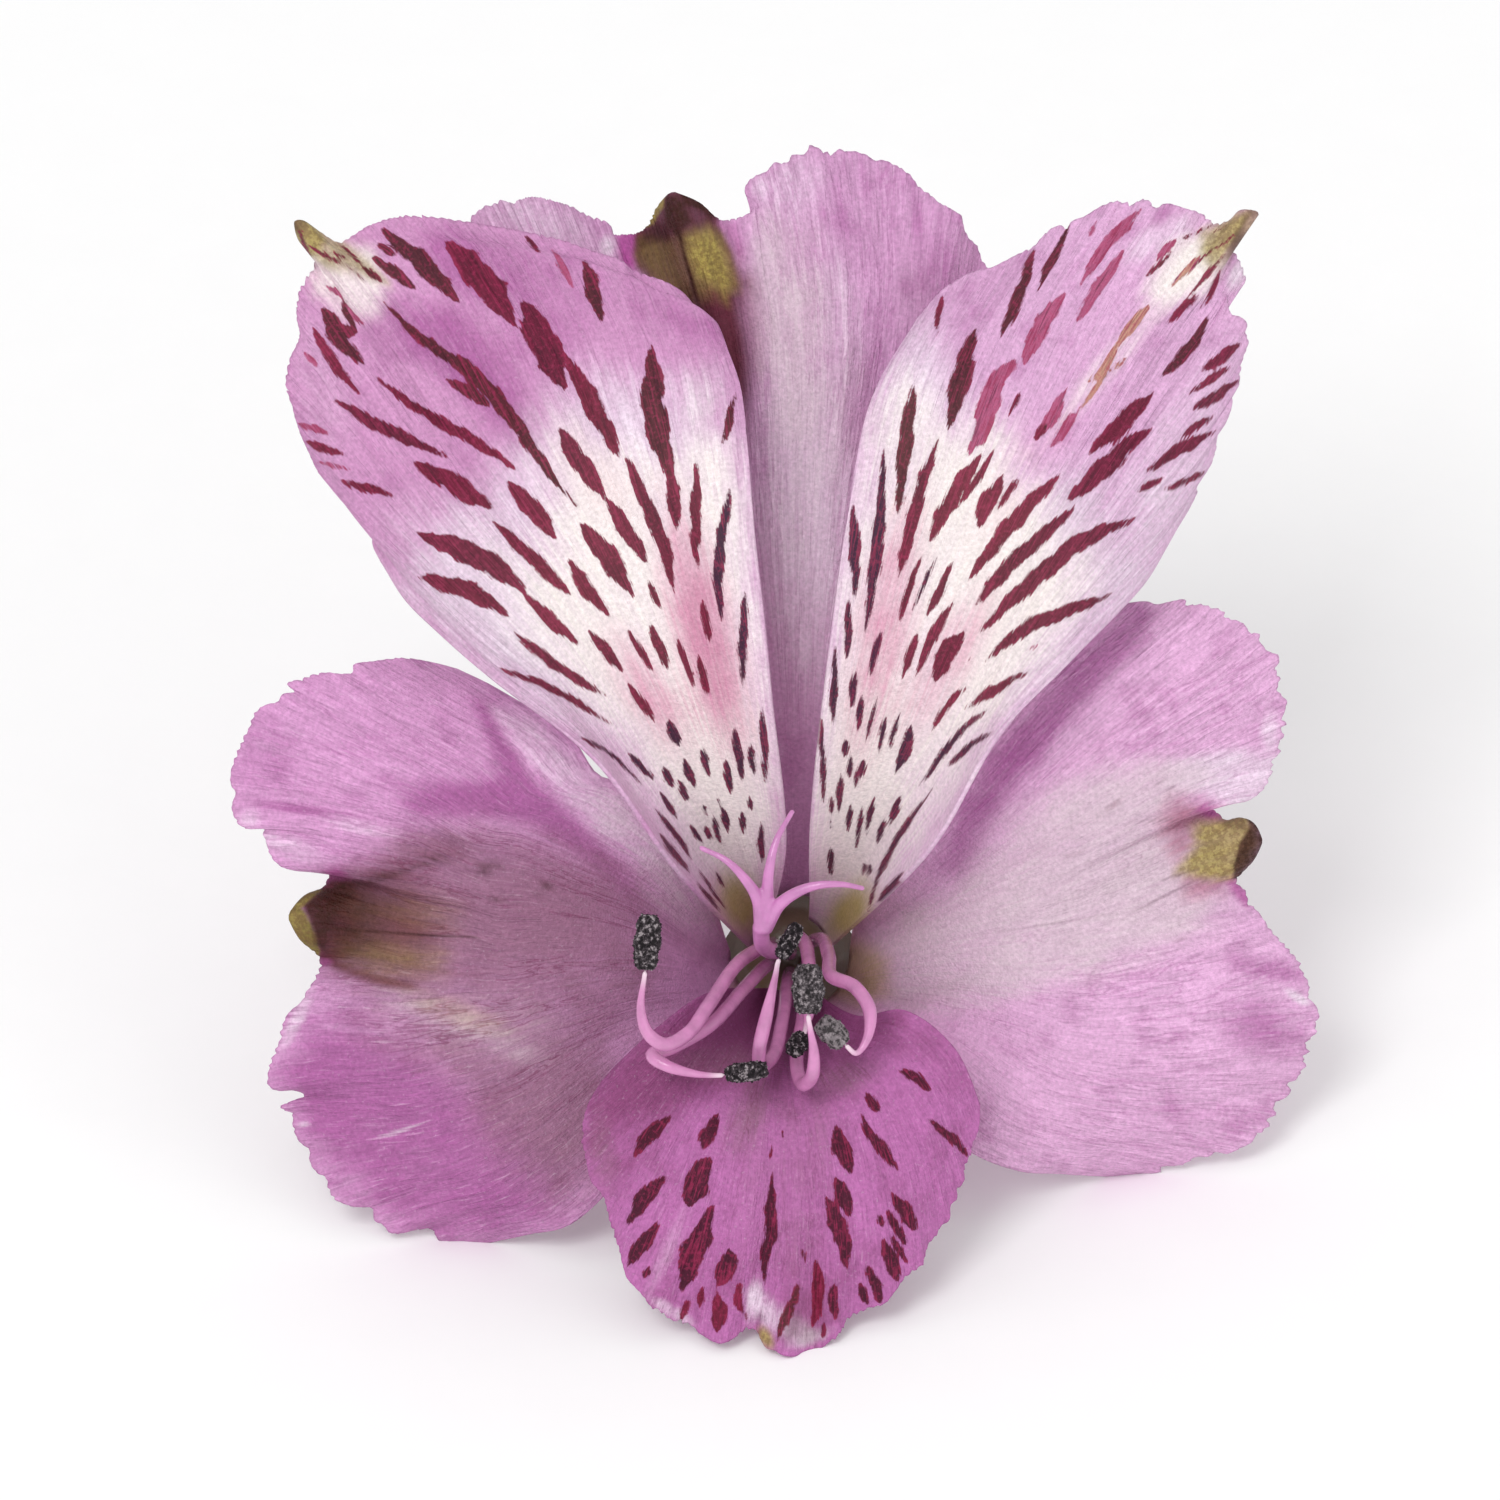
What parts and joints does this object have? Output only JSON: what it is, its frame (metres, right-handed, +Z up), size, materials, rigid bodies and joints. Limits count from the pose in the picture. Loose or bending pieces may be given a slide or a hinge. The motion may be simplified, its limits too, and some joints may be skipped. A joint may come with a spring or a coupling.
{
  "type": "alstroemeria bloom on its cut pedicel",
  "caption": "Open lily-like bloom with streaked inner tepals, curling stamens and a branched style, on its ovary and a short cut stalk, lying on its side.",
  "frame": {"origin": "on the surface that the flower lies on, below the middle of its box", "axes": "+Z up, -Y towards whoever looks into the bloom, +Y along the stalk towards its cut end, +X to the right of the bloom's face"},
  "size_m": [0.0692, 0.097, 0.0606],
  "materials": {
    "outer_tepal": "satin",
    "inner_tepal": "satin",
    "lower_tepal": "satin",
    "filament": "satin",
    "style": "satin",
    "anther": "matte",
    "opened_anther": "matte",
    "ovary": "satin",
    "pedicel": "satin"
  },
  "bodies": {
    "root": {"outer_tepal_left": "outer_tepal", "outer_tepal_right": "outer_tepal", "outer_tepal_top": "outer_tepal", "inner_tepal_left": "inner_tepal", "inner_tepal_right": "inner_tepal", "inner_tepal_lower": "lower_tepal", "filament_1": "filament", "filament_2": "filament", "filament_3": "filament", "filament_4": "filament", "filament_5": "filament", "filament_6": "filament", "anther_1": "anther", "anther_2": "anther", "anther_3": "anther", "anther_4": "anther", "anther_5": "opened_anther", "anther_6": "anther", "style": "style", "ovary": "ovary", "pedicel": "pedicel"}
  },
  "joints": []
}
